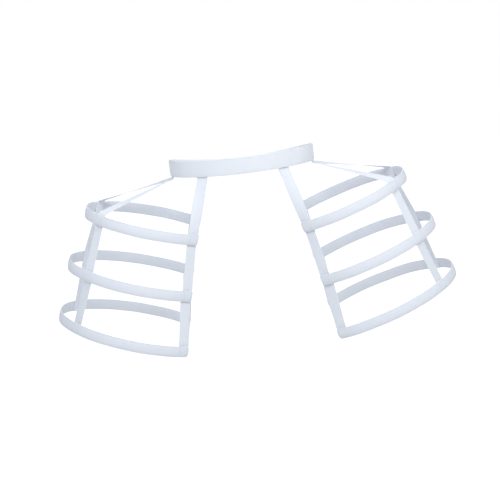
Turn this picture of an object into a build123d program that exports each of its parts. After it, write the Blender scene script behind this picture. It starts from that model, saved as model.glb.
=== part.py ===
from build123d import *
import math
import os

# Crinoline cage with open side hoops, in millimetres.
# The origin is the middle of the waistband, +Z is up and the front faces -Y.
# Left and right are the wearer's, so left is +X. The right half mirrors the left half.

# Waistband, an oval of doubled tape that is level in front and dips to its fastening at the back
waist_width = 263
waist_depth = 184
waist_side_radius_share = 0.78
waistband_height = 30
waistband_thickness = 2.2
waist_side_drop = 2.5
waist_back_drop = 26

# Fastening at the middle of the back
overlap_length = 60
overlap_bend_radius = 30
overlap_tail_clearance = 3
fastener_thickness = 1.0
fastener_margin = 5

# Flat spring bones and the caps on their ends
bone_height = 12
bone_thickness = 0.8
bone_end_clearance = 9
bone_facet_sag = 0.4
tip_cover = 9
tip_wall = 0.3
tip_fit = 0.05

# Hoop casings, flat woven tubes round the bones
channel_clearance = 0.15
casing_wall = 0.5
casing_seam = 3.5

# Hoops, each in a plane of its own that rises away from the body
# Their open ends are set off from the waistband's side, outwards or, below zero, inwards.
hoop_rise_angle = 17.5
hoop_side_radius_share = 1.14
hoop_nose_radius_share = 0.875
upper_hoop_drop = 123.7
hoop_spacing = 97.7
upper_hoop_offset = -37.9
middle_hoop_offset = -15
lower_hoop_offset = 3.5
upper_hoop_reach = 208
middle_hoop_reach = 230.5
lower_hoop_reach = 242
upper_hoop_depth = 232
middle_hoop_depth = 260
lower_hoop_depth = 279

# Tapes that hang the hoops, and the ties across the hoops' open ends
tape_width = 20
tape_thickness = 1.0
tape_top_margin = 4
tape_bend_margin = 1.5
tape_twist_steps = 6
front_tape_spread = 147
back_tape_spread = 151
side_tape_gap = 2
side_tape_slant = 11
upper_front_tape_angle = 48
middle_front_tape_angle = 43
lower_front_tape_angle = 47
upper_back_tape_angle = 56
middle_back_tape_angle = 53
lower_back_tape_angle = 55
tie_thickness = 1.0
tie_tab_length = 15
tie_bend_radius = 3

# Sewn pieces lie this far apart, and cuts run this far past what they cut
seat_gap = 0.15
overrun = 2

# Sizes that follow from those above
tip_height = bone_height + 2 * (tip_fit + tip_wall)
tip_thickness = bone_thickness + 2 * (tip_fit + tip_wall)
channel_height = tip_height + 2 * channel_clearance
channel_thickness = tip_thickness + 2 * channel_clearance
casing_height = channel_height + 2 * casing_seam
casing_thickness = channel_thickness + bone_facet_sag + 2 * casing_wall
waist_half_width = (waist_width - waistband_thickness) / 2
waist_half_depth = (waist_depth - waistband_thickness) / 2
overlap_step = waistband_thickness + 2 * fastener_thickness + 3 * seat_gap
upper_hoop_inset = waist_width / 2 + upper_hoop_offset
middle_hoop_inset = waist_width / 2 + middle_hoop_offset
lower_hoop_inset = waist_width / 2 + lower_hoop_offset


class Arc:
    """A round stretch of a strip's middle line, by centre, radius, start angle and signed sweep in degrees."""

    def __init__(self, centre, radius, start, sweep):
        self.centre = Vector(*centre)
        self.radius = radius
        self.start = start
        self.sweep = sweep

    def point(self, angle, radius):
        return self.centre + Vector(radius, 0).rotate(Axis.Z, angle)

    def side(self, offset):
        """The arc moved by an offset, positive to the right of the direction of travel."""
        radius = self.radius + math.copysign(offset, offset * self.sweep)
        edge = CenterArc(self.centre, radius, self.start, self.sweep)
        return edge, self.point(self.start, radius), self.point(self.start + self.sweep, radius)


def degrees_along(length, radius):
    return math.degrees(length / radius)


def strip_face(arcs, thickness):
    """The flat outline of a strip of one thickness along joined arcs."""
    right = [arc.side(thickness / 2) for arc in arcs]
    left = [arc.side(-thickness / 2) for arc in arcs]
    edges = [edge for edge, first, last in right + left]
    ends = [Line(right[0][1], left[0][1]), Line(right[-1][2], left[-1][2])]
    return make_face(edges + ends)


def strip(arcs, thickness, height):
    return extrude(strip_face(arcs, thickness), height / 2, both=True)


def facet_line(arcs, offset):
    """Points along joined arcs at an offset, so close that straight runs between them keep to the facet sag."""
    points = []
    for arc in arcs:
        edge = arc.side(offset + bone_facet_sag / 2)[0]
        step = 2 * math.degrees(math.acos(1 - bone_facet_sag / arc.radius))
        count = math.ceil(abs(arc.sweep) / step)
        points += [edge @ (index / count) for index in range(count)]
    return points + [edge @ 1]


def facet_strip(arcs, thickness, height):
    """A strip with its bends in flat facets, for what is closed in."""
    right = facet_line(arcs, thickness / 2)
    left = facet_line(arcs, -thickness / 2)
    outline = make_face(Polyline(*right, *reversed(left), close=True))
    return extrude(outline, height / 2, both=True)


class Waist:
    """The oval that the waistband follows in plan, made of four tangent arcs."""

    def __init__(self):
        self.side_radius = waist_side_radius_share * waist_half_depth
        self.side_centre = waist_half_width - self.side_radius
        self.radius = (
            waist_half_depth**2 + self.side_centre**2 - self.side_radius**2
        ) / (2 * (waist_half_depth - self.side_radius))
        self.back_centre = waist_half_depth - self.radius
        self.join_angle = math.degrees(math.atan2(-self.back_centre, self.side_centre))
        self.tail_angle = degrees_along(overlap_length / 2, self.radius)
        self.dip = waist_side_drop - waist_back_drop / 4

    def height_at(self, y):
        """The middle of the waistband's height at a depth, level in front and through its two drops."""
        back = 1 + y / waist_half_depth
        return self.dip * back**3 - (waist_side_drop + self.dip) * back**2

    def slope_at(self, y):
        back = 1 + y / waist_half_depth
        return (3 * self.dip * back**2 - 2 * (waist_side_drop + self.dip) * back) / waist_half_depth

    def height_band(self, height):
        """A block that keeps a band of this height, centred on the waistband's height all round."""
        reach = waist_half_depth + overlap_step + waistband_thickness + overrun
        front, back = [Vector(y, self.height_at(y)) for y in (-reach, reach)]
        third = 2 * reach / 3
        front_pull = front + Vector(third, third * self.slope_at(-reach))
        back_pull = back - Vector(third, third * self.slope_at(reach))
        curve = [front, front_pull, back_pull, back]
        up = Vector(0, height / 2)
        top = Bezier(*[point + up for point in curve])
        bottom = Bezier(*[point - up for point in curve])
        ends = [Line(point + up, point - up) for point in (front, back)]
        outline = make_face([top, bottom, *ends])
        return extrude(Plane.YZ * outline, waist_half_width + waistband_thickness, both=True)

    def wall(self, arcs, thickness, height):
        """A wall that stands on the oval, cut to the waistband's changing height."""
        tall = 2 * (waist_back_drop + waist_side_drop + waistband_height)
        return strip(arcs, thickness, tall) & self.height_band(height)

    def tail(self, radius, margin):
        """An arc behind the overlap at a radius, short of both ends by a margin."""
        half = self.tail_angle - degrees_along(margin, self.radius)
        return Arc((0, self.back_centre), radius, 90 - half, 2 * half)

    def overlap_bend(self):
        """Two opposite arcs that carry the upper tail out over the lower one."""
        out_radius = self.radius + overlap_bend_radius
        in_radius = self.radius + overlap_step - overlap_bend_radius
        spread = (out_radius**2 + in_radius**2 - (2 * overlap_bend_radius) ** 2) / (2 * out_radius * in_radius)
        end = 90 - self.tail_angle - degrees_along(overlap_tail_clearance, self.radius)
        start = end - math.degrees(math.acos(spread))
        first = Vector(0, self.back_centre) + Vector(out_radius, 0).rotate(Axis.Z, start)
        second = Vector(0, self.back_centre) + Vector(in_radius, 0).rotate(Axis.Z, end)
        toward = second - first
        turn = math.degrees(math.atan2(toward.Y, toward.X)) % 360
        return start, end, [
            Arc(first, overlap_bend_radius, start + 180, turn - start - 180),
            Arc(second, overlap_bend_radius, turn - 180, end - turn + 180),
        ]

    def arcs(self):
        """The waistband's middle line, from the lower tail round the front to the upper tail."""
        join = self.join_angle
        bend_start, bend_end, bend = self.overlap_bend()
        back = (0, self.back_centre)
        lower_start = 90 - self.tail_angle
        return [
            Arc(back, self.radius, lower_start, 180 - join - lower_start),
            Arc((-self.side_centre, 0), self.side_radius, 180 - join, 2 * join),
            Arc((0, -self.back_centre), self.radius, 180 + join, 180 - 2 * join),
            Arc((self.side_centre, 0), self.side_radius, -join, 2 * join),
            Arc(back, self.radius, join, bend_start - join),
            *bend,
            Arc(back, self.radius + overlap_step, bend_end, 90 + self.tail_angle - bend_end),
        ]

    def tape_stops(self, centre, radius, angle, slant):
        """Where a tape starts on the waistband's inner face, and where it leaves the lower edge."""
        outward = Vector(1, 0).rotate(Axis.Z, angle)
        level = Vector(0, 0, 1).cross(outward)
        lean = math.tan(math.radians(slant))
        across = (level + Vector(0, 0, lean)).normalized()
        covered = tape_width + waistband_height * abs(lean)
        place = Vector(*centre) + outward * seat_radius(radius - waistband_thickness / 2, covered)
        middle = self.height_at(place.Y)
        droop = abs(self.slope_at(place.Y) * across.Y - across.Z) * tape_width / 2
        top = middle + waistband_height / 2 - tape_top_margin
        bottom = middle - waistband_height / 2 - droop - tape_bend_margin
        return [
            (place + level * (lean * (middle - height)) + Vector(0, 0, height), across)
            for height in (top, bottom)
        ]

    def front_stops(self):
        angle = -math.degrees(math.acos(front_tape_spread / 2 / self.radius))
        return self.tape_stops((0, -self.back_centre), self.radius, angle, 0)

    def back_stops(self):
        angle = math.degrees(math.acos(back_tape_spread / 2 / self.radius))
        return self.tape_stops((0, self.back_centre), self.radius, angle, 0)

    def side_stops(self, facing):
        """A tape beside the middle of the side, in front (-1) or behind (1), which slants away downwards."""
        lean = math.tan(math.radians(side_tape_slant))
        offset = (tape_width + side_tape_gap + waistband_height * lean) / 2
        angle = facing * degrees_along(offset, self.side_radius)
        return self.tape_stops((self.side_centre, 0), self.side_radius, angle, facing * side_tape_slant)


def seat_radius(face_radius, width):
    """How far out the middle of a flat tape lies when this width of it rests inside a round face."""
    chord = math.sqrt((face_radius - seat_gap) ** 2 - (width / 2) ** 2)
    return chord - tape_thickness / 2


class Hoop:
    """One hoop's shape in its own plane: two side arcs and a nose, open towards the body."""

    def __init__(self, drop, inset, reach, depth, front_tape_angle, back_tape_angle):
        rise = math.radians(hoop_rise_angle)
        self.tape_angles = {-1: front_tape_angle, 1: back_tape_angle}
        self.plane = Plane(
            origin=(inset, 0, -drop),
            x_dir=(math.cos(rise), 0, math.sin(rise)),
            z_dir=(-math.sin(rise), 0, math.cos(rise)),
        )
        half_depth = depth / 2
        self.radius = hoop_side_radius_share * half_depth
        self.nose_radius = hoop_nose_radius_share * half_depth
        self.nose_centre = reach - self.nose_radius
        self.side_offset = self.radius - half_depth
        run = math.sqrt((self.radius - self.nose_radius) ** 2 - self.side_offset**2)
        self.side_centre = self.nose_centre - run
        self.nose_angle = math.degrees(math.atan2(self.side_offset, run))
        self.end_angle = 90 + math.degrees(math.asin(self.side_centre / self.radius))

    def side_arc(self, facing, start, sweep):
        """An arc along the front (-1) or back (1) side, between angles counted from the reach."""
        centre = (self.side_centre, -facing * self.side_offset)
        return Arc(centre, self.radius, facing * start, facing * sweep)

    def arcs(self, trim):
        """The hoop's middle line from its front end to its back end, shortened by a trim at each end."""
        end = self.end_angle - degrees_along(trim, self.radius)
        side = end - self.nose_angle
        return [
            self.side_arc(-1, end, -side),
            Arc((self.nose_centre, 0), self.nose_radius, -self.nose_angle, 2 * self.nose_angle),
            self.side_arc(1, self.nose_angle, side),
        ]

    def casing(self):
        """A flat tube, with a channel for the bone from end to end."""
        bone_end = self.end_angle - degrees_along(bone_end_clearance, self.radius)
        past = degrees_along(bone_end_clearance + overrun, self.radius)
        front_run = self.side_arc(-1, bone_end + past, -past)
        back_run = self.side_arc(1, bone_end, past)
        channel = [front_run, *self.arcs(bone_end_clearance), back_run]
        tube = strip(self.arcs(0), casing_thickness, casing_height)
        return tube - facet_strip(channel, channel_thickness, channel_height)

    def bone(self):
        return facet_strip(self.arcs(bone_end_clearance), bone_thickness, bone_height)

    def tip(self, facing):
        """A cap over the bone's end, open towards the bone."""
        line = facet_line(self.arcs(bone_end_clearance), 0)
        end, before = (line[0], line[1]) if facing < 0 else (line[-1], line[-2])
        seat = Plane(end, x_dir=end - before, z_dir=(0, 0, 1))
        outer = Align.MAX, Align.CENTER, Align.CENTER
        cap = Box(tip_cover + tip_fit + tip_wall, tip_thickness, tip_height, align=outer)
        slot_thickness = bone_thickness + 2 * tip_fit
        slot_height = bone_height + 2 * tip_fit
        slot = Box(tip_cover + tip_fit + overrun, slot_thickness, slot_height, align=outer)
        return seat * (Pos(X=tip_fit + tip_wall) * cap - Pos(X=tip_fit) * slot)

    def seat(self, facing, angle):
        """A tape's seat inside the casing, at an angle from the reach: its place and its outward direction."""
        outward = Vector(1, 0).rotate(Axis.Z, facing * angle)
        centre, radius = Vector(self.nose_centre, 0), self.nose_radius
        if angle > self.nose_angle:
            centre, radius = Vector(self.side_centre, -facing * self.side_offset), self.radius
        return centre + outward * seat_radius(radius - casing_thickness / 2, tape_width), outward

    def inner_seat(self, facing):
        """The seat of an inner tape, flush with the hoop's end."""
        return self.seat(facing, self.end_angle - degrees_along(tape_width / 2, self.radius))

    def outer_seat(self, facing):
        """The seat of an outer tape, where the hoop has turned by its angle from the front or back."""
        return self.seat(facing, 90 - self.tape_angles[facing])

    def tape_stops(self, seat, is_last):
        """Where a tape meets the casing's upper edge and leaves its lower edge."""
        place, outward = seat
        across = Vector(0, 0, 1).cross(outward)
        top = casing_height / 2 + tape_bend_margin
        bottom = -casing_height / 2 if is_last else -top
        local = [place + Vector(0, 0, height) for height in (top, bottom)]
        turned = self.plane.from_local_coords(across) - self.plane.origin
        return [(self.plane.from_local_coords(point), turned) for point in local]

    def tie(self):
        """A flat tape across the open side, with both ends turned along the inner tapes and sewn down."""
        place, outward = self.inner_seat(-1)
        inward = outward.rotate(Axis.Z, -90)
        sewn = place - outward * (tape_thickness / 2 + seat_gap + tie_thickness / 2)
        tab_end = sewn - inward * (tie_tab_length - tape_width / 2)
        corner = sewn + inward * (tape_width / 2)
        points = [tab_end, corner, Vector(corner.X, -corner.Y), Vector(tab_end.X, -tab_end.Y)]
        path = FilletPolyline(*points, radius=tie_bend_radius)
        return extrude(trace(path, tie_thickness), casing_height / 2, both=True)


def twist(first, last):
    """Stops between two stops, which spread a tape's twist evenly along its run."""
    (point, across), (last_point, last_across) = first, last
    shares = [index / tape_twist_steps for index in range(1, tape_twist_steps)]
    return [
        (point + (last_point - point) * share, (across + (last_across - across) * share).normalized())
        for share in shares
    ]


def ribbon(stops):
    """A flat tape through its stops, each a middle point and a direction across, mitred where it bends."""
    normals = []
    for (point, across), (next_point, next_across) in zip(stops, stops[1:]):
        normals.append((across + next_across).cross(next_point - point).normalized())
    sections = []
    for (point, across), first, second in zip(stops, normals[:1] + normals, normals + normals[-1:]):
        lean = (first + second) * (tape_thickness / 2 / (1 + first.dot(second)))
        half = across * (tape_width / 2)
        sections.append([point - half - lean, point + half - lean, point + half + lean, point - half + lean])
    outlines = [sections[0], sections[-1]]
    for section, following in zip(sections, sections[1:]):
        for left, right in ((0, 1), (3, 2), (0, 3), (1, 2)):
            outlines.append([section[left], section[right], following[right]])
            outlines.append([section[left], following[right], following[left]])
    return Solid(Shell([Face(Wire.make_polygon(outline)) for outline in outlines]))


def side_pieces(waist, hoops):
    """Every piece of the left side, by name."""
    pieces = {}
    for name, hoop in hoops.items():
        local = {
            "casing": hoop.casing(),
            "bone": hoop.bone(),
            "front_tip": hoop.tip(-1),
            "back_tip": hoop.tip(1),
            "tie": hoop.tie(),
        }
        for piece, shape in local.items():
            pieces[f"{name}_hoop_{piece}"] = hoop.plane * shape
    last = list(hoops)[-1]
    for side, facing, inner_top in (("front", -1, waist.front_stops()), ("back", 1, waist.back_stops())):
        inner = []
        outer = []
        for name, hoop in hoops.items():
            inner += hoop.tape_stops(hoop.inner_seat(facing), name == last)
            outer += hoop.tape_stops(hoop.outer_seat(facing), name == last)
        outer_top = waist.side_stops(facing)
        pieces[f"{side}_inner_tape"] = ribbon(inner_top + twist(inner_top[-1], inner[0]) + inner)
        pieces[f"{side}_outer_tape"] = ribbon(outer_top + twist(outer_top[-1], outer[0]) + outer)
    return pieces


def waist_pieces(waist):
    """The waistband and the two strips that fasten its overlapped ends."""
    face = waistband_thickness / 2 + seat_gap + fastener_thickness / 2
    strip_height = waistband_height - 2 * fastener_margin
    hooks = waist.tail(waist.radius + face, fastener_margin)
    loops = waist.tail(waist.radius + overlap_step - face, fastener_margin)
    return {
        "waistband": waist.wall(waist.arcs(), waistband_thickness, waistband_height),
        "waistband_hook_strip": waist.wall([hooks], fastener_thickness, strip_height),
        "waistband_loop_strip": waist.wall([loops], fastener_thickness, strip_height),
    }


waist = Waist()
upper_angles = upper_front_tape_angle, upper_back_tape_angle
middle_angles = middle_front_tape_angle, middle_back_tape_angle
lower_angles = lower_front_tape_angle, lower_back_tape_angle
middle_hoop_drop = upper_hoop_drop + hoop_spacing
lower_hoop_drop = middle_hoop_drop + hoop_spacing
hoops = {
    "upper": Hoop(upper_hoop_drop, upper_hoop_inset, upper_hoop_reach, upper_hoop_depth, *upper_angles),
    "middle": Hoop(middle_hoop_drop, middle_hoop_inset, middle_hoop_reach, middle_hoop_depth, *middle_angles),
    "lower": Hoop(lower_hoop_drop, lower_hoop_inset, lower_hoop_reach, lower_hoop_depth, *lower_angles),
}
nodes = waist_pieces(waist)
for name, shape in side_pieces(waist, hoops).items():
    nodes[f"left_{name}"] = shape
    nodes[f"right_{name}"] = mirror(shape, about=Plane.YZ)

os.makedirs("parts", exist_ok=True)
for name, shape in nodes.items():
    export_step(shape, f"parts/{name}.step")
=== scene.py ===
"""Looks of the crinoline cage with open side hoops: woven tapes, sewn casings and their stitching."""

import bisect
import math
from collections import namedtuple

import bpy
from mathutils import Matrix, Vector, noise


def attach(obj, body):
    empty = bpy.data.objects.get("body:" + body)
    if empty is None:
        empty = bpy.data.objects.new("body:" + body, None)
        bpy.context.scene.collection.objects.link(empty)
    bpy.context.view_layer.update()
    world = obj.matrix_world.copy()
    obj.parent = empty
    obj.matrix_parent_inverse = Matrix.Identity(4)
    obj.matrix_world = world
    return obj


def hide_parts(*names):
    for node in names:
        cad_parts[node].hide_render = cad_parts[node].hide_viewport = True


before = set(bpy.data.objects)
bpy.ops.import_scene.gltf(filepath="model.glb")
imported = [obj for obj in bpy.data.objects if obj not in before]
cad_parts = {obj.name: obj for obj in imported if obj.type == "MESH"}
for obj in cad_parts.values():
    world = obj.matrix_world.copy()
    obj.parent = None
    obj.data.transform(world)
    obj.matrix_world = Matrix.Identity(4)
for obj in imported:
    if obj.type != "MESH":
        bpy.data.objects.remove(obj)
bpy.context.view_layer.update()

# Sizes of the part, in metres. The origin is the middle of the waistband, and the front faces -Y.
waist_width = 0.263
waist_depth = 0.184
waist_side_radius_share = 0.78
waistband_height = 0.030
waistband_thickness = 0.0022
waist_side_drop = 0.0025
waist_back_drop = 0.026
overlap_length = 0.060
overlap_bend_radius = 0.030
overlap_tail_clearance = 0.003
fastener_thickness = 0.001
fastener_margin = 0.005
casing_height = 0.020
casing_thickness = 0.0032
hoop_rise_angle = math.radians(17.5)
hoop_side_radius_share = 1.14
hoop_nose_radius_share = 0.875
upper_hoop_drop = 0.1237
hoop_spacing = 0.0977
hoop_insets = {"upper": 0.0936, "middle": 0.1165, "lower": 0.135}
hoop_reaches = {"upper": 0.208, "middle": 0.2305, "lower": 0.242}
hoop_depths = {"upper": 0.232, "middle": 0.260, "lower": 0.279}
tape_width = 0.020
tape_thickness = 0.001
tape_top_margin = 0.004
tape_bend_margin = 0.0015
tape_spreads = {-1: 0.147, 1: 0.151}
side_tape_gap = 0.002
side_tape_slant = math.radians(11)
front_tape_angles = {"upper": math.radians(48), "middle": math.radians(43), "lower": math.radians(47)}
back_tape_angles = {"upper": math.radians(56), "middle": math.radians(53), "lower": math.radians(55)}
tie_thickness = 0.001
tie_tab_length = 0.015
tie_bend_radius = 0.003
seat_gap = 0.00015

# Sections of the bands, as shares of half the height and half the thickness, from the middle to an edge
casing_shares = (
    (0, 1), (0.16, 0.99), (0.32, 0.955), (0.46, 0.9), (0.58, 0.82), (0.66, 0.73), (0.71, 0.6),
    (0.745, 0.53), (0.79, 0.52), (0.86, 0.53), (0.93, 0.49), (0.975, 0.38), (1, 0.16),
)
lining_shares = (
    (0, 1), (0.16, 0.98), (0.32, 0.92), (0.46, 0.84), (0.58, 0.74), (0.66, 0.66), (0.71, 0.6),
    (0.745, 0.55), (0.79, 0.5), (0.86, 0.41), (0.93, 0.32), (0.975, 0.25), (1, 0.16),
)
tape_shares = (
    (0, 0.86), (0.3, 0.86), (0.6, 0.86), (0.80, 0.84), (0.85, 0.66), (0.89, 0.96), (0.94, 1),
    (0.98, 0.8), (1, 0.4),
)
waistband_shares = (
    (0, 1), (0.25, 0.99), (0.5, 0.97), (0.72, 0.93), (0.80, 0.88), (0.83, 0.8), (0.86, 0.8),
    (0.89, 0.85), (0.95, 0.82), (0.98, 0.68), (0.995, 0.45), (1, 0.2),
)
fastener_shares = ((0, 1), (0.5, 1), (0.9, 1), (0.97, 0.8), (1, 0.4))

# Stitching
stitch_length = 0.0026
stitch_gap = 0.0010
thread_radius = 0.00024
casing_stitch_share = 0.725
waistband_stitch_share = 0.845
box_margin = 0.0026
groove_width = 0.0011
groove_depth = 0.0002

# How the cloth wanders, puckers and rounds at its cut ends
wander = 0.0008
wander_wavelength = 0.055
flutter = 0.0005
flutter_wavelength = 0.040
pucker = 0.00016
pucker_wavelength = 0.006
bend_softness = 0.0035
end_corner_radius = 0.0022
lower_end_corner_radius = 0.005
plain_corners = (end_corner_radius, end_corner_radius)
calm_margin_share = 0.5
mean_swell = 0.5
flutter_row = 7
pucker_start_share = 0.55
groove_reach_share = 0.8
# Painted shade on the thinning cloth stops at this share of half the height
edge_shade_reach_share = 0.9
least_thickness_share = 0.2
inner_face_uv_shift_share = 3

# Where a band's cross sections stand
station_spacing = 0.0025
station_digits = 7
tangent_step = station_spacing / 10
soft_step_shares = (-1, -0.5, 0, 0.5, 1)
groove_station_shares = (-1.5, -1, -0.5, 0, 0.5, 1, 1.5)
end_station_shares = (0.08, 0.25, 0.5, 0.8)

# Seeds of the cloth's noise
waistband_seed = 1
hoop_seed_step = 10
inner_tape_seed = 60
outer_tape_seed = 70

Frame = namedtuple("Frame", "along place across facing")


class Arc:
    """A round stretch of a band's middle line in plan, travelled from a start angle by a signed sweep."""

    def __init__(self, centre, radius, start, sweep):
        self.centre = Vector((centre[0], centre[1], 0))
        self.radius = radius
        self.start = start
        self.sweep = sweep
        self.length = radius * abs(sweep)

    def at(self, distance):
        """The point at a distance along the arc, and the direction to the right of travel."""
        turn = math.copysign(1, self.sweep)
        angle = self.start + turn * distance / self.radius
        outward = Vector((math.cos(angle), math.sin(angle), 0))
        return self.centre + outward * self.radius, outward * turn


def arcs_length(arcs):
    return sum(arc.length for arc in arcs)


def at_arcs(arcs, distance):
    for arc in arcs[:-1]:
        if distance < arc.length:
            return arc.at(distance)
        distance -= arc.length
    return arcs[-1].at(distance)


class Waist:
    """The oval of four tangent arcs that the waistband follows, level in front and lower at the back."""

    def __init__(self):
        self.half_width = (waist_width - waistband_thickness) / 2
        self.half_depth = (waist_depth - waistband_thickness) / 2
        self.side_radius = waist_side_radius_share * self.half_depth
        self.side_centre = self.half_width - self.side_radius
        across = self.half_depth**2 + self.side_centre**2 - self.side_radius**2
        self.radius = across / (2 * (self.half_depth - self.side_radius))
        self.back_centre = self.half_depth - self.radius
        self.join = math.atan2(-self.back_centre, self.side_centre)
        self.tail = overlap_length / 2 / self.radius
        self.step = waistband_thickness + 2 * fastener_thickness + 3 * seat_gap
        self.dip = waist_side_drop - waist_back_drop / 4

    def height_at(self, y):
        back = 1 + y / self.half_depth
        return self.dip * back**3 - (waist_side_drop + self.dip) * back**2

    def slope_at(self, y):
        back = 1 + y / self.half_depth
        return (3 * self.dip * back**2 - 2 * (waist_side_drop + self.dip) * back) / self.half_depth

    def polar(self, radius, angle):
        return Vector((radius * math.cos(angle), self.back_centre + radius * math.sin(angle), 0))

    def overlap_bend(self):
        """Two opposite arcs that carry the upper tail out over the lower one."""
        out_radius = self.radius + overlap_bend_radius
        in_radius = self.radius + self.step - overlap_bend_radius
        squares = out_radius**2 + in_radius**2 - (2 * overlap_bend_radius) ** 2
        end = math.pi / 2 - self.tail - overlap_tail_clearance / self.radius
        start = end - math.acos(squares / (2 * out_radius * in_radius))
        first = self.polar(out_radius, start)
        second = self.polar(in_radius, end)
        toward = second - first
        turn = math.atan2(toward.y, toward.x) % (2 * math.pi)
        return start, end, [
            Arc(first, overlap_bend_radius, start + math.pi, turn - start - math.pi),
            Arc(second, overlap_bend_radius, turn - math.pi, end - turn + math.pi),
        ]

    def arcs(self):
        """The waistband's middle line, from the lower tail round the front to the upper tail."""
        start, end, bend = self.overlap_bend()
        back = (0, self.back_centre)
        lower = math.pi / 2 - self.tail
        return [
            Arc(back, self.radius, lower, math.pi - self.join - lower),
            Arc((-self.side_centre, 0), self.side_radius, math.pi - self.join, 2 * self.join),
            Arc((0, -self.back_centre), self.radius, math.pi + self.join, math.pi - 2 * self.join),
            Arc((self.side_centre, 0), self.side_radius, -self.join, 2 * self.join),
            Arc(back, self.radius, self.join, start - self.join),
            *bend,
            Arc(back, self.radius + self.step, end, math.pi / 2 + self.tail - end),
        ]

    def tail_arc(self, radius, margin):
        half = self.tail - margin / self.radius
        return Arc((0, self.back_centre), radius, math.pi / 2 - half, 2 * half)

    def frame_at(self, arcs, distance):
        """A frame on a wall that stands on the oval and follows the waistband's height."""
        place, outward = at_arcs(arcs, distance)
        place.z = self.height_at(place.y)
        return Frame(distance, place, Vector((0, 0, 1)), outward)

    def tape_stops(self, centre, radius, angle, slant):
        """Where a tape starts on the waistband's inner face, and where it leaves the lower edge."""
        outward = Vector((math.cos(angle), math.sin(angle), 0))
        level = Vector((0, 0, 1)).cross(outward)
        lean = math.tan(slant)
        across = (level + Vector((0, 0, lean))).normalized()
        covered = tape_width + waistband_height * abs(lean)
        place = Vector((*centre, 0)) + outward * seat_radius(radius - waistband_thickness / 2, covered)
        middle = self.height_at(place.y)
        droop = abs(self.slope_at(place.y) * across.y - across.z) * tape_width / 2
        top = middle + waistband_height / 2 - tape_top_margin
        bottom = middle - waistband_height / 2 - droop - tape_bend_margin
        return [
            (place + level * (lean * (middle - height)) + Vector((0, 0, height)), across)
            for height in (top, bottom)
        ]

    def inner_stops(self, facing):
        """A tape at the front (-1) or the back (1) of the left side."""
        angle = facing * math.acos(tape_spreads[facing] / 2 / self.radius)
        return self.tape_stops((0, facing * self.back_centre), self.radius, angle, 0)

    def outer_stops(self, facing):
        """A tape beside the middle of the waistband's left side, which slants away from it downwards."""
        offset = (tape_width + side_tape_gap + waistband_height * math.tan(side_tape_slant)) / 2
        angle = facing * offset / self.side_radius
        return self.tape_stops((self.side_centre, 0), self.side_radius, angle, facing * side_tape_slant)


def seat_radius(face_radius, width):
    """How far out the middle of a flat tape lies when this width of it rests inside a round face."""
    return math.sqrt((face_radius - seat_gap) ** 2 - (width / 2) ** 2) - tape_thickness / 2


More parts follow.
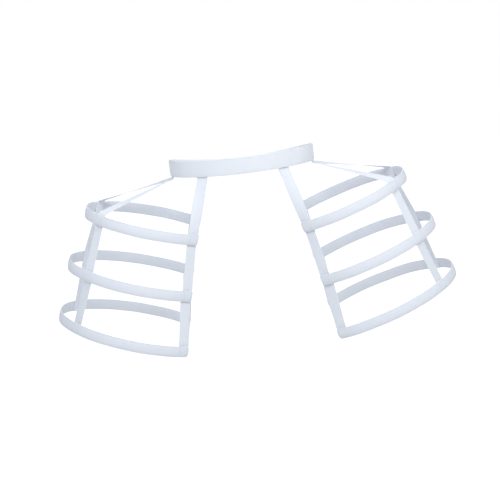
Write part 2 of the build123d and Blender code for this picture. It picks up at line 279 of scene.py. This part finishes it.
class Hoop:
    """One left hoop in its own plane: two side arcs and a nose, open towards the body."""

    def __init__(self, level, name):
        self.origin = Vector((hoop_insets[name], 0, -upper_hoop_drop - level * hoop_spacing))
        self.tape_angles = {-1: front_tape_angles[name], 1: back_tape_angles[name]}
        self.reach_way = Vector((math.cos(hoop_rise_angle), 0, math.sin(hoop_rise_angle)))
        self.up_way = Vector((-math.sin(hoop_rise_angle), 0, math.cos(hoop_rise_angle)))
        half_depth = hoop_depths[name] / 2
        self.radius = hoop_side_radius_share * half_depth
        self.nose_radius = hoop_nose_radius_share * half_depth
        self.nose_centre = hoop_reaches[name] - self.nose_radius
        self.side_offset = self.radius - half_depth
        run = math.sqrt((self.radius - self.nose_radius) ** 2 - self.side_offset**2)
        self.side_centre = self.nose_centre - run
        self.nose = math.atan2(self.side_offset, run)
        self.end = math.pi / 2 + math.asin(self.side_centre / self.radius)

    def turned(self, local):
        return self.reach_way * local.x + Vector((0, local.y, 0)) + self.up_way * local.z

    def placed(self, local):
        return self.origin + self.turned(local)

    def arcs(self):
        """The hoop's middle line from its front end to its back end."""
        side = self.end - self.nose
        return [
            Arc((self.side_centre, self.side_offset), self.radius, -self.end, side),
            Arc((self.nose_centre, 0), self.nose_radius, -self.nose, 2 * self.nose),
            Arc((self.side_centre, -self.side_offset), self.radius, self.nose, side),
        ]

    def frame_at(self, arcs, distance):
        place, outward = at_arcs(arcs, distance)
        return Frame(distance, self.placed(place), self.up_way.copy(), self.turned(outward))

    def outer_crossing(self, facing):
        """How far from the hoop's front (-1) or back (1) end its outer tape crosses it."""
        angle = math.pi / 2 - self.tape_angles[facing]
        if angle > self.nose:
            return self.radius * (self.end - angle)
        return self.radius * (self.end - self.nose) + self.nose_radius * (self.nose - angle)

    def crossings(self):
        """How far along the hoop the middles of its four tapes cross it, from front to back."""
        length = arcs_length(self.arcs())
        inner = tape_width / 2
        return [inner, self.outer_crossing(-1), length - self.outer_crossing(1), length - inner]

    def seat(self, facing, angle):
        """A tape's seat inside the casing, at an angle from the reach: its place and its outward way."""
        outward = Vector((math.cos(angle), facing * math.sin(angle), 0))
        centre, radius = Vector((self.nose_centre, 0, 0)), self.nose_radius
        if angle > self.nose:
            centre, radius = Vector((self.side_centre, -facing * self.side_offset, 0)), self.radius
        return centre + outward * seat_radius(radius - casing_thickness / 2, tape_width), outward

    def inner_seat(self, facing):
        return self.seat(facing, self.end - tape_width / 2 / self.radius)

    def outer_seat(self, facing):
        return self.seat(facing, math.pi / 2 - self.tape_angles[facing])

    def tape_stops(self, seat, is_last):
        """Where a tape meets the casing's upper edge and leaves its lower edge."""
        place, outward = seat
        across = self.turned(Vector((0, 0, 1)).cross(outward))
        top = casing_height / 2 + tape_bend_margin
        bottom = -casing_height / 2 if is_last else -top
        return [(self.placed(place + Vector((0, 0, height))), across) for height in (top, bottom)]

    def tie_stops(self):
        """The corners of the tie's middle line, from its front tab to its back tab."""
        place, outward = self.inner_seat(-1)
        inward = Vector((outward.y, -outward.x, 0))
        sewn = place - outward * (tape_thickness / 2 + seat_gap + tie_thickness / 2)
        tab_end = sewn - inward * (tie_tab_length - tape_width / 2)
        corner = sewn + inward * (tape_width / 2)
        back = [Vector((point.x, -point.y, 0)) for point in (corner, tab_end)]
        return [(self.placed(point), self.up_way) for point in (tab_end, corner, *back)]


class Run:
    """A flat tape's line through its stops, each a point and a direction across, softened at its bends."""

    def __init__(self, stops, softness):
        self.stops = stops
        self.softness = softness
        self.marks = [0]
        for (point, _), (following, _) in zip(stops, stops[1:]):
            self.marks.append(self.marks[-1] + (following - point).length)
        self.length = self.marks[-1]

    def straight(self, distance):
        """The point and the direction across at a distance, with sharp bends."""
        index = min(max(bisect.bisect_right(self.marks, distance) - 1, 0), len(self.marks) - 2)
        share = (distance - self.marks[index]) / (self.marks[index + 1] - self.marks[index])
        (point, across), (following, following_across) = self.stops[index : index + 2]
        return point.lerp(following, share), across.lerp(following_across, share).normalized()

    def soft(self, distance):
        reach = min(self.softness, distance, self.length - distance)
        steps = [self.straight(distance + reach * share) for share in soft_step_shares]
        point = sum((step[0] for step in steps), Vector()) / len(steps)
        across = sum((step[1] for step in steps), Vector()).normalized()
        return point, across

    def frame_at(self, distance):
        point, across = self.soft(distance)
        ahead = self.soft(min(distance + tangent_step, self.length))[0]
        behind = self.soft(max(distance - tangent_step, 0))[0]
        facing = (ahead - behind).cross(across).normalized()
        return Frame(distance, point, across, facing)


def even_stations(length, extra):
    """Distances along a band, evenly spaced, closer round the extra places and the cut ends."""
    count = math.ceil(length / station_spacing)
    stations = [length * index / count for index in range(count + 1)]
    for place in extra:
        near = [place + groove_width * share for share in groove_station_shares]
        stations += [distance for distance in near if 0 < distance < length]
    for share in end_station_shares:
        stations += [end_corner_radius * share, length - end_corner_radius * share]
    return sorted({round(distance, station_digits) for distance in stations})


def wandering(frames, seed, calm):
    """The frames moved a little up, down and outwards as sewn cloth lies, but not near the calm places."""
    moved = []
    for item in frames:
        quiet = 1
        for place in calm:
            quiet = min(quiet, max(0, abs(item.along - place) / tape_width - calm_margin_share))
        drift = noise.noise(Vector((item.along / wander_wavelength, seed, 0)))
        swell = mean_swell + noise.noise(Vector((item.along / flutter_wavelength, seed, flutter_row)))
        shift = item.across * (wander * drift) + item.facing * (flutter * swell * quiet)
        moved.append(item._replace(place=item.place + shift))
    return moved


def mirrored(frames, side):
    """The frames as they are for the left side (1), or mirrored for the right side (-1)."""
    flip = Vector((side, 1, 1))
    return [Frame(item.along, item.place * flip, item.across * flip, item.facing * flip) for item in frames]


def frame_between(frames, distance):
    """The frame at any distance, between the two nearest ones."""
    marks = [item.along for item in frames]
    index = min(max(bisect.bisect_right(marks, distance) - 1, 0), len(frames) - 2)
    first, second = frames[index], frames[index + 1]
    share = (distance - first.along) / (second.along - first.along)
    return Frame(
        distance,
        first.place.lerp(second.place, share),
        first.across.lerp(second.across, share).normalized(),
        first.facing.lerp(second.facing, share).normalized(),
    )


class Section:
    """One face of a band's cross section, the same towards both edges."""

    def __init__(self, height, thickness, shares, has_edge_shade=True):
        self.has_edge_shade = has_edge_shade
        self.half_height = height / 2
        self.half_thickness = thickness / 2
        upper = [(across * self.half_height, rise * self.half_thickness) for across, rise in shares]
        lower = [(-across, rise) for across, rise in reversed(upper[1:])]
        self.points = lower + upper

    def thickness_at(self, across):
        """Half the thickness at a place across the band."""
        for (low, start), (high, end) in zip(self.points, self.points[1:]):
            if low <= across <= high:
                return start + (end - start) * (across - low) / (high - low)
        return self.points[-1][1]


def groove_share(distance, places):
    """How deep in a stitched groove a distance along a band lies, from 0 to 1."""
    nearest = min((abs(distance - place) for place in places), default=groove_width)
    return max(0, 1 - nearest / groove_width)


def corner_scale(along, length, half_height, radius_start, radius_end):
    """How much narrower a band is near its cut ends, so that their corners are round."""
    for distance, radius in ((along, radius_start), (length - along, radius_end)):
        if distance < radius:
            return 1 - (radius - math.sqrt(radius**2 - (radius - distance) ** 2)) / half_height
    return 1


def band_faces(rows, count):
    """A closed band's faces over its rows of points, and which of its two materials each one has."""
    faces = []
    slots = []
    for row in range(rows - 1):
        start = row * 2 * count
        for face in (0, 1):
            for step in range(count - 1):
                corner = start + face * count + step
                faces.append((corner, corner + 1, corner + 1 + 2 * count, corner + 2 * count))
                slots.append(face)
        for step in (0, count - 1):
            corner = start + step
            faces.append((corner, corner + count, corner + 3 * count, corner + 2 * count))
            slots.append(0)
    for start in (0, (rows - 1) * 2 * count):
        for step in range(count - 1):
            corner = start + step
            faces.append((corner, corner + 1, corner + 1 + count, corner + count))
            slots.append(0)
    return faces, slots


def band(name, frames, sections, materials, grooves=(), corners=plain_corners, seed=0):
    """A closed cloth band along its frames, with a section and a material for each of its two faces."""
    length = frames[-1].along
    section = sections[0]
    points = []
    painted_shade_amounts = []
    uvs = []
    for item in frames:
        scale = corner_scale(item.along, length, section.half_height, *corners)
        pressed = groove_share(item.along, grooves)
        for face, shape in zip((1, -1), sections):
            uv_shift = 0 if face > 0 else inner_face_uv_shift_share * section.half_height
            for across, rise in shape.points:
                share = abs(across) / section.half_height
                edge = max(0, (share - pucker_start_share) / (1 - pucker_start_share))
                spot = Vector((item.along / pucker_wavelength, across / pucker_wavelength, seed + face))
                ripple = noise.noise(spot)
                inside = pressed if share < groove_reach_share else 0
                depth = rise - groove_depth * inside + pucker * ripple * edge
                depth = max(depth, least_thickness_share * rise)
                points.append(item.place + item.across * (across * scale) + item.facing * (face * depth))
                # Painted shade: darker in a stitched groove and where the cloth thins towards an edge
                edge_is_shaded = shape.has_edge_shade and share < edge_shade_reach_share
                painted_shade_amounts.append(max(inside, 1 - rise / section.half_thickness if edge_is_shaded else 0))
                uvs.append((item.along, across + uv_shift))
    faces, slots = band_faces(len(frames), len(section.points))
    piece = mesh_piece(name, points, faces)
    for material in materials:
        piece.data.materials.append(material)
    piece.data.polygons.foreach_set("material_index", slots)
    crease_shade_mask = piece.data.attributes.new("crease_shade_mask", "FLOAT", "POINT")
    crease_shade_mask.data.foreach_set("value", painted_shade_amounts)
    layer = piece.data.uv_layers.new(name="band")
    for loop in piece.data.loops:
        layer.data[loop.index].uv = uvs[loop.vertex_index]
    return piece


def mesh_piece(name, points, faces):
    """A smooth mesh object with its faces turned outwards."""
    mesh = bpy.data.meshes.new(name)
    mesh.from_pydata([tuple(point) for point in points], [], faces)
    piece = bpy.data.objects.new(name, mesh)
    bpy.context.scene.collection.objects.link(piece)
    bpy.context.view_layer.objects.active = piece
    piece.select_set(True)
    bpy.ops.object.mode_set(mode="EDIT")
    bpy.ops.mesh.select_all(action="SELECT")
    bpy.ops.mesh.normals_make_consistent(inside=False)
    bpy.ops.object.mode_set(mode="OBJECT")
    piece.select_set(False)
    mesh.polygons.foreach_set("use_smooth", [True] * len(mesh.polygons))
    return piece


class Thread:
    """Stitches gathered into one mesh, each a short thread that dips into the cloth at both ends."""

    sides = 5
    # Each ring's share of the stitch's length, and its radius and its lift in thread radii
    rings = ((0, 0.35, -0.5), (0.18, 1, 0.35), (0.82, 1, 0.35), (1, 0.35, -0.5))

    def __init__(self):
        self.points = []
        self.faces = []

    def stitch(self, start, end, facing):
        along = (end - start).normalized()
        sideways = along.cross(facing).normalized()
        first = len(self.points)
        for share, radius, lift in self.rings:
            middle = start.lerp(end, share) + facing * (lift * thread_radius)
            for side in range(self.sides):
                angle = 2 * math.pi * side / self.sides
                spoke = sideways * math.cos(angle) + facing * math.sin(angle)
                self.points.append(middle + spoke * (radius * thread_radius))
        for ring in range(len(self.rings) - 1):
            for side in range(self.sides):
                here = first + ring * self.sides
                after = (side + 1) % self.sides
                faces = (here + side, here + after, here + self.sides + after, here + self.sides + side)
                self.faces.append(faces)
        last = first + (len(self.rings) - 1) * self.sides
        self.faces.append(tuple(range(first, first + self.sides)))
        self.faces.append(tuple(range(last, last + self.sides)))

    def starts(self, first, last):
        """Where each stitch of a row starts, with the spare length shared by the row's two ends."""
        pitch = stitch_length + stitch_gap
        count = max(1, int((last - first + stitch_gap) / pitch))
        spare = (last - first - count * pitch + stitch_gap) / 2
        return [first + spare + index * pitch for index in range(count)]

    def along(self, frames, section, across, face, first, last):
        """A row of stitches along a band, at one place across it."""
        for start in self.starts(first, last):
            ends = (start, across), (start + stitch_length, across)
            self.stitch(*self.ends(frames, section, *ends, face))

    def crosswise(self, frames, section, distance, face, low, high):
        """A row of stitches across a band, at one distance along it."""
        for start in self.starts(low, high):
            ends = (distance, start), (distance, start + stitch_length)
            self.stitch(*self.ends(frames, section, *ends, face))

    def box(self, frames, section, face, first, last, edge):
        """Rows of stitches round a stretch of a band, as far out on both sides as the edge."""
        for across in (-edge, edge):
            self.along(frames, section, across, face, first, last)
        for distance in (first, last):
            self.crosswise(frames, section, distance, face, -edge, edge)

    def ends(self, frames, section, start, end, face):
        """A stitch's two ends on a band's face, and the way that the face looks."""
        points = []
        for distance, across in (start, end):
            item = frame_between(frames, distance)
            height = face * section.thickness_at(across)
            points.append(item.place + item.across * across + item.facing * height)
        return points[0], points[1], item.facing * face

    def piece(self, name, material):
        made = mesh_piece(name, self.points, self.faces)
        made.data.materials.append(material)
        return made


# Materials

# A wave texture of scale 1 has 20 waves in 2 pi.
wave_scale = 2 * math.pi / 20
weave_distortion = 0.6
weave_detail_scale = 0.2
weave_relief = 0.35
# Painted shade between the ribs: the dyed colour's share runs from 0.62 in the gaps to 1 on the ribs
weave_gap_shade_limits = (0.62, 1)
dye_scale = 26
dye_detail = 4
dye_limits = (0.35, 1.15)
# Painted shade in the stitched grooves and where the cloth thins: the shade colour darkened to this share,
# mixed in by the mask up to this limit
crease_shade = 0.74
crease_shade_limits = (0, 0.3)
cloth_roughness = (0.78, 0.96)
cloth_specular = 0.25
cloth_sheen = 0.12
cloth_sheen_roughness = 0.5
grain_detail = 3
grain_relief = 0.3


def colour_mix(tree, first, second, factor):
    """A mix of two colours, each a value or an output, by a factor output."""
    # A mix node takes its colours at inputs 6 and 7, and gives the mixed one at output 2.
    mix = tree.nodes.new("ShaderNodeMix")
    mix.data_type = "RGBA"
    for socket, value in ((mix.inputs[6], first), (mix.inputs[7], second)):
        if isinstance(value, bpy.types.NodeSocket):
            tree.links.new(value, socket)
        else:
            socket.default_value = (*value, 1)
    tree.links.new(factor, mix.inputs[0])
    return mix.outputs[2]


def spread(tree, value, low, high):
    """A value from 0 to 1 spread between two limits."""
    made = tree.nodes.new("ShaderNodeMapRange")
    tree.links.new(value, made.inputs["Value"])
    made.inputs["To Min"].default_value = low
    made.inputs["To Max"].default_value = high
    return made.outputs["Result"]


def new_material(name):
    material = bpy.data.materials.new(name)
    material.use_nodes = True
    return material, material.node_tree, material.node_tree.nodes["Principled BSDF"]


def grain_noise(tree, scale, detail):
    """A noise from 0 to 1 in the object's own space."""
    place = tree.nodes.new("ShaderNodeTexCoord")
    made = tree.nodes.new("ShaderNodeTexNoise")
    made.inputs["Scale"].default_value = scale
    made.inputs["Detail"].default_value = detail
    tree.links.new(place.outputs["Object"], made.inputs["Vector"])
    return made.outputs["Fac"]


def weave_waves(tree, rib_period, yarn_period):
    """The ribs across a band and the yarns along it, each a wave from 0 to 1."""
    uv = tree.nodes.new("ShaderNodeUVMap")
    uv.uv_map = "band"
    waves = []
    for direction, period in (("X", rib_period), ("Y", yarn_period)):
        wave = tree.nodes.new("ShaderNodeTexWave")
        wave.bands_direction = direction
        wave.inputs["Scale"].default_value = wave_scale / period
        wave.inputs["Distortion"].default_value = weave_distortion
        wave.inputs["Detail Scale"].default_value = weave_detail_scale
        tree.links.new(uv.outputs["UV"], wave.inputs["Vector"])
        waves.append(wave.outputs["Fac"])
    return waves


def add_relief(tree, shader, height, strength, depth):
    """Bumps on a material's surface, as high as a height output times the depth."""
    bump = tree.nodes.new("ShaderNodeBump")
    bump.inputs["Strength"].default_value = strength
    bump.inputs["Distance"].default_value = depth
    tree.links.new(height, bump.inputs["Height"])
    tree.links.new(bump.outputs["Normal"], shader.inputs["Normal"])


def woven(name, colour, shade, rib_period, yarn_period, depth):
    """White woven tape: ribs and yarns in relief, with uneven dye, and painted shade between the ribs, in
    the stitched grooves and where the cloth thins at its edges.
    """
    material, tree, shader = new_material(name)
    ribs, yarns = weave_waves(tree, rib_period, yarn_period)
    relief = tree.nodes.new("ShaderNodeMath")
    relief.operation = "MULTIPLY_ADD"
    for socket, height in zip(relief.inputs, (ribs, yarns, yarns)):
        tree.links.new(height, socket)
    blotch = grain_noise(tree, dye_scale, dye_detail)
    dyed = colour_mix(tree, shade, colour, spread(tree, blotch, *dye_limits))
    # Painted shade in the gaps between the ribs
    gap_shaded_colour = colour_mix(tree, shade, dyed, spread(tree, ribs, *weave_gap_shade_limits))
    # Painted shade: the bands' stored mask darkens the stitched grooves and the thinning edges
    crease_shade_mask = tree.nodes.new("ShaderNodeAttribute")
    crease_shade_mask.attribute_name = "crease_shade_mask"
    deep = [crease_shade * part for part in shade]
    crease_shaded_colour = colour_mix(tree, gap_shaded_colour, deep, spread(tree, crease_shade_mask.outputs["Fac"], *crease_shade_limits))
    tree.links.new(crease_shaded_colour, shader.inputs["Base Color"])
    tree.links.new(spread(tree, blotch, *cloth_roughness), shader.inputs["Roughness"])
    add_relief(tree, shader, relief.outputs["Value"], weave_relief, depth)
    shader.inputs["Specular IOR Level"].default_value = cloth_specular
    shader.inputs["Sheen Weight"].default_value = cloth_sheen
    shader.inputs["Sheen Roughness"].default_value = cloth_sheen_roughness
    return material


def speckled(name, colour, shade, scale, roughness, metallic, depth):
    """A fine-grained finish for thread, plastic and steel."""
    material, tree, shader = new_material(name)
    grain = grain_noise(tree, scale, grain_detail)
    tree.links.new(colour_mix(tree, shade, colour, grain), shader.inputs["Base Color"])
    tree.links.new(spread(tree, grain, *roughness), shader.inputs["Roughness"])
    add_relief(tree, shader, grain, grain_relief, depth)
    shader.inputs["Metallic"].default_value = metallic
    return material


waistband_cloth = woven(
    "waistband_cloth", colour=(0.865, 0.89, 0.94), shade=(0.795, 0.83, 0.89),
    rib_period=0.0011, yarn_period=0.0008, depth=0.00012,
)
casing_cloth = woven(
    "casing_cloth", colour=(0.86, 0.89, 0.95), shade=(0.79, 0.83, 0.90),
    rib_period=0.0010, yarn_period=0.0007, depth=0.00012,
)
# The casing cloth on the inner face, painted about a tenth darker as shade on the inside of the hoops
inner_face_shaded_cloth = woven(
    "inner_face_shaded_cloth", colour=(0.785, 0.82, 0.875), shade=(0.72, 0.755, 0.815),
    rib_period=0.0010, yarn_period=0.0007, depth=0.00012,
)
tape_cloth = woven(
    "tape_cloth", colour=(0.86, 0.89, 0.95), shade=(0.79, 0.83, 0.90),
    rib_period=0.0009, yarn_period=0.0007, depth=0.00014,
)
loop_pile = woven(
    "loop_pile", colour=(0.76, 0.79, 0.85), shade=(0.60, 0.63, 0.70),
    rib_period=0.0006, yarn_period=0.0006, depth=0.0004,
)
hook_pile = speckled(
    "hook_pile", colour=(0.78, 0.80, 0.84), shade=(0.55, 0.57, 0.60),
    scale=2600, roughness=(0.4, 0.6), metallic=0, depth=0.0004,
)
sewing_thread = speckled(
    "sewing_thread", colour=(0.86, 0.89, 0.95), shade=(0.76, 0.80, 0.87),
    scale=3000, roughness=(0.5, 0.75), metallic=0, depth=0.0001,
)
bone_steel = speckled(
    "bone_steel", colour=(0.80, 0.81, 0.83), shade=(0.62, 0.63, 0.66),
    scale=400, roughness=(0.3, 0.45), metallic=0.9, depth=0.00003,
)
tip_plastic = speckled(
    "tip_plastic", colour=(0.85, 0.85, 0.85), shade=(0.75, 0.75, 0.76),
    scale=900, roughness=(0.4, 0.6), metallic=0, depth=0.00003,
)


# Pieces

def settle(piece, node_name, stitching=None):
    """The piece stands for its solid, which it hides, and rides on the part with its stitching."""
    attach(piece, "root")
    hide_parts(node_name)
    if stitching:
        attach(stitching, "root")


waist = Waist()
levels = ("upper", "middle", "lower")
hoops = {name: Hoop(level, name) for level, name in enumerate(levels)}
casing_section = Section(casing_height, casing_thickness, casing_shares)
lining_section = Section(casing_height, casing_thickness, lining_shares, has_edge_shade=False)
tape_section = Section(tape_width, tape_thickness, tape_shares)
tie_section = Section(casing_height, tie_thickness, tape_shares)
waistband_section = Section(waistband_height, waistband_thickness, waistband_shares)
sides = {"left": 1, "right": -1}


def make_casing(name, hoop, side, seed):
    """A hoop's casing: a flat tube over the bone, stitched along both edges and at each tape."""
    node_name = f"{side}_{name}_hoop_casing"
    arcs = hoop.arcs()
    length = arcs_length(arcs)
    crossings = hoop.crossings()
    inset = tape_width / 2 - box_margin
    grooves = [place + offset for place in crossings for offset in (-inset, inset)]
    stations = even_stations(length, grooves)
    frames = [hoop.frame_at(arcs, distance) for distance in stations]
    frames = mirrored(wandering(frames, seed, crossings), sides[side])
    radius = lower_end_corner_radius if name == levels[-1] else end_corner_radius
    # The inner face has the same cloth, painted darker as shade
    materials = (casing_cloth, inner_face_shaded_cloth)
    corners = (radius, radius)
    sections = (casing_section, lining_section)
    piece = band(f"{node_name}_cloth", frames, sections, materials, grooves, corners, seed)
    thread = Thread()
    edge = casing_stitch_share * casing_section.half_height
    reach = casing_section.half_height - box_margin / 2
    for face, section in zip((1, -1), sections):
        for across in (-edge, edge):
            thread.along(frames, section, across, face, box_margin, length - box_margin)
    for place in grooves:
        thread.crosswise(frames, casing_section, place, 1, -reach, reach)
    stitching = thread.piece(f"{side}_{name}_hoop_stitching", sewing_thread)
    settle(piece, node_name, stitching)


def make_tape(name, stops, side, seed, end_radius):
    """A hanging tape from the waistband down the inside of three hoops."""
    node_name = f"{side}_{name}_tape"
    run = Run(stops, bend_softness)
    seats = [(run.marks[index] + run.marks[index + 1]) / 2 for index in range(0, len(run.marks), 2)]
    frames = [run.frame_at(distance) for distance in even_stations(run.length, ())]
    frames = mirrored(frames, sides[side])
    corners = (end_corner_radius, end_radius)
    materials = (tape_cloth, tape_cloth)
    sections = (tape_section, tape_section)
    piece = band(f"{node_name}_cloth", frames, sections, materials, corners=corners, seed=seed)
    thread = Thread()
    edge = tape_section.half_height - box_margin
    for index, place in enumerate(seats):
        height = run.marks[2 * index + 1] - run.marks[2 * index]
        reach = height / 2 - box_margin
        thread.box(frames, tape_section, -1, place - reach, place + reach, edge)
    stitching = thread.piece(f"{node_name}_stitching", sewing_thread)
    settle(piece, node_name, stitching)


def make_tie(name, hoop, side, seed):
    """The tape across a hoop's open side, with its two ends sewn along the inner tapes."""
    node_name = f"{side}_{name}_hoop_tie"
    run = Run(hoop.tie_stops(), tie_bend_radius)
    frames = [run.frame_at(distance) for distance in even_stations(run.length, ())]
    frames = mirrored(frames, sides[side])
    sections = (tie_section, tie_section)
    piece = band(f"{node_name}_cloth", frames, sections, (tape_cloth, tape_cloth), seed=seed)
    thread = Thread()
    edge = tie_section.half_height - box_margin
    tabs = ((0, tie_tab_length), (run.length - tie_tab_length, run.length))
    for first, last in tabs:
        for face in (1, -1):
            thread.box(frames, tie_section, face, first + box_margin, last - box_margin, edge)
    stitching = thread.piece(f"{node_name}_stitching", sewing_thread)
    settle(piece, node_name, stitching)


def make_waistband():
    """The doubled waistband, stitched along both edges and across both ends."""
    arcs = waist.arcs()
    length = arcs_length(arcs)
    stations = even_stations(length, ())
    frames = [waist.frame_at(arcs, distance) for distance in stations]
    materials = (waistband_cloth, waistband_cloth)
    sections = (waistband_section, waistband_section)
    piece = band("waistband_cloth", frames, sections, materials, seed=waistband_seed)
    thread = Thread()
    edge = waistband_stitch_share * waistband_section.half_height
    for face in (1, -1):
        thread.box(frames, waistband_section, face, box_margin, length - box_margin, edge)
    stitching = thread.piece("waistband_stitching", sewing_thread)
    settle(piece, "waistband", stitching)


def make_fasteners():
    """The hook strip and the loop strip between the waistband's overlapped ends."""
    height = waistband_height - 2 * fastener_margin
    section = Section(height, fastener_thickness, fastener_shares)
    face = waistband_thickness / 2 + seat_gap + fastener_thickness / 2
    strips = (
        ("hook", waist.radius + face, hook_pile),
        ("loop", waist.radius + waist.step - face, loop_pile),
    )
    for name, radius, material in strips:
        arcs = [waist.tail_arc(radius, fastener_margin)]
        length = arcs_length(arcs)
        frames = [waist.frame_at(arcs, distance) for distance in even_stations(length, ())]
        node_name = f"waistband_{name}_strip"
        piece = band(f"{node_name}_pile", frames, (section, section), (material, material), seed=radius)
        settle(piece, node_name)


make_waistband()
make_fasteners()
for side in sides:
    for index, (name, hoop) in enumerate(hoops.items()):
        seed = hoop_seed_step * (index + 1) + sides[side]
        make_casing(name, hoop, side, seed)
        make_tie(name, hoop, side, seed)
    for where, facing in (("front", -1), ("back", 1)):
        inner = waist.inner_stops(facing)
        outer = waist.outer_stops(facing)
        for name, hoop in hoops.items():
            inner += hoop.tape_stops(hoop.inner_seat(facing), name == levels[-1])
            outer += hoop.tape_stops(hoop.outer_seat(facing), name == levels[-1])
        make_tape(f"{where}_inner", inner, side, inner_tape_seed + facing, lower_end_corner_radius)
        make_tape(f"{where}_outer", outer, side, outer_tape_seed + facing, end_corner_radius)

# The bones and their tips, sealed in the casings, keep the meshes of their solids.
hidden_finishes = {"_bone": bone_steel, "_tip": tip_plastic}
for name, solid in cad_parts.items():
    for ending, finish in hidden_finishes.items():
        if name.endswith(ending):
            solid.data.materials.clear()
            solid.data.materials.append(finish)


# Floor, light and camera

floor_drop = 1.05
floor_size = 14
floor_colour = (0.8, 0.8, 0.8, 1)
floor_glow = 0.7
pure_white = (1, 1, 1, 1)
world_colour = (0.93, 0.96, 1, 1)
world_strength = 0.58
lamp_target = Vector((0, 0, -0.15))
warm_light = (1, 0.99, 0.98)
cool_light = (0.94, 0.97, 1)
camera_place = Vector((0, -2.5392, 0.3594))
camera_yaw = math.radians(-0.09)
camera_pitch = math.radians(-11.8)
camera_roll = math.radians(-6.78)
camera_lens = 101.4
camera_sensor_width = 36


def add_lamp(name, place, size, power, colour):
    lamp = bpy.data.lights.new(name, "AREA")
    lamp.size = size
    lamp.energy = power
    lamp.color = colour
    holder = bpy.data.objects.new(name, lamp)
    holder.location = place
    holder.visible_camera = False
    holder.rotation_euler = (lamp_target - Vector(place)).to_track_quat("-Z", "Y").to_euler()
    bpy.context.scene.collection.objects.link(holder)


def background_ray(tree):
    """1 for what the camera, a reflection or a transmission sees, and 0 for light on the object."""
    path = tree.nodes.new("ShaderNodeLightPath")
    last = path.outputs["Is Camera Ray"]
    for name in ("Is Glossy Ray", "Is Transmission Ray"):
        largest = tree.nodes.new("ShaderNodeMath")
        largest.operation = "MAXIMUM"
        tree.links.new(last, largest.inputs[0])
        tree.links.new(path.outputs[name], largest.inputs[1])
        last = largest.outputs["Value"]
    return last


def make_world():
    world = bpy.data.worlds.new("studio")
    world.use_nodes = True
    bpy.context.scene.world = world
    tree = world.node_tree
    light = tree.nodes["Background"]
    light.inputs["Color"].default_value = world_colour
    light.inputs["Strength"].default_value = world_strength
    white = tree.nodes.new("ShaderNodeBackground")
    white.inputs["Color"].default_value = pure_white
    white.inputs["Strength"].default_value = 1
    mix = tree.nodes.new("ShaderNodeMixShader")
    tree.links.new(background_ray(tree), mix.inputs[0])
    tree.links.new(light.outputs[0], mix.inputs[1])
    tree.links.new(white.outputs[0], mix.inputs[2])
    tree.links.new(mix.outputs[0], tree.nodes["World Output"].inputs["Surface"])


def make_floor():
    """A pale floor below the worn part, brought to white by a glow that adds no diffuse light."""
    half = floor_size / 2
    corners = [(-half, -half), (half, -half), (half, half), (-half, half)]
    mesh = bpy.data.meshes.new("floor")
    mesh.from_pydata([(x, y, -floor_drop) for x, y in corners], [], [(0, 1, 2, 3)])
    floor = bpy.data.objects.new("floor", mesh)
    bpy.context.scene.collection.objects.link(floor)
    material, tree, shader = new_material("pale_floor")
    shader.inputs["Base Color"].default_value = floor_colour
    shader.inputs["Roughness"].default_value = 1
    shader.inputs["Specular IOR Level"].default_value = 0
    shader.inputs["Emission Color"].default_value = pure_white
    own = tree.nodes.new("ShaderNodeMath")
    own.operation = "MULTIPLY"
    own.inputs[1].default_value = floor_glow
    tree.links.new(background_ray(tree), own.inputs[0])
    tree.links.new(own.outputs["Value"], shader.inputs["Emission Strength"])
    mesh.materials.append(material)


def make_camera():
    camera = bpy.data.cameras.new("camera")
    camera.sensor_width = camera_sensor_width
    camera.lens = camera_lens
    ahead = Vector((
        math.sin(camera_yaw) * math.cos(camera_pitch),
        math.cos(camera_yaw) * math.cos(camera_pitch),
        math.sin(camera_pitch),
    ))
    right = Vector((math.cos(camera_yaw), -math.sin(camera_yaw), 0))
    up = right.cross(ahead)
    x_way = right * math.cos(camera_roll) + up * math.sin(camera_roll)
    y_way = up * math.cos(camera_roll) - right * math.sin(camera_roll)
    holder = bpy.data.objects.new("camera", camera)
    turn = Matrix((x_way, y_way, -ahead)).transposed().to_4x4()
    holder.matrix_world = Matrix.Translation(camera_place) @ turn
    bpy.context.scene.collection.objects.link(holder)
    bpy.context.scene.camera = holder


make_world()
make_floor()
add_lamp("key", place=(0.8, -1.2, 1.1), size=0.9, power=12.8, colour=warm_light)
add_lamp("fill", place=(-0.6, -1.25, 1.1), size=0.8, power=9.5, colour=cool_light)
add_lamp("rear", place=(0, 1.8, 0.25), size=1.0, power=11, colour=warm_light)
make_camera()
bpy.context.scene.view_settings.view_transform = "Standard"
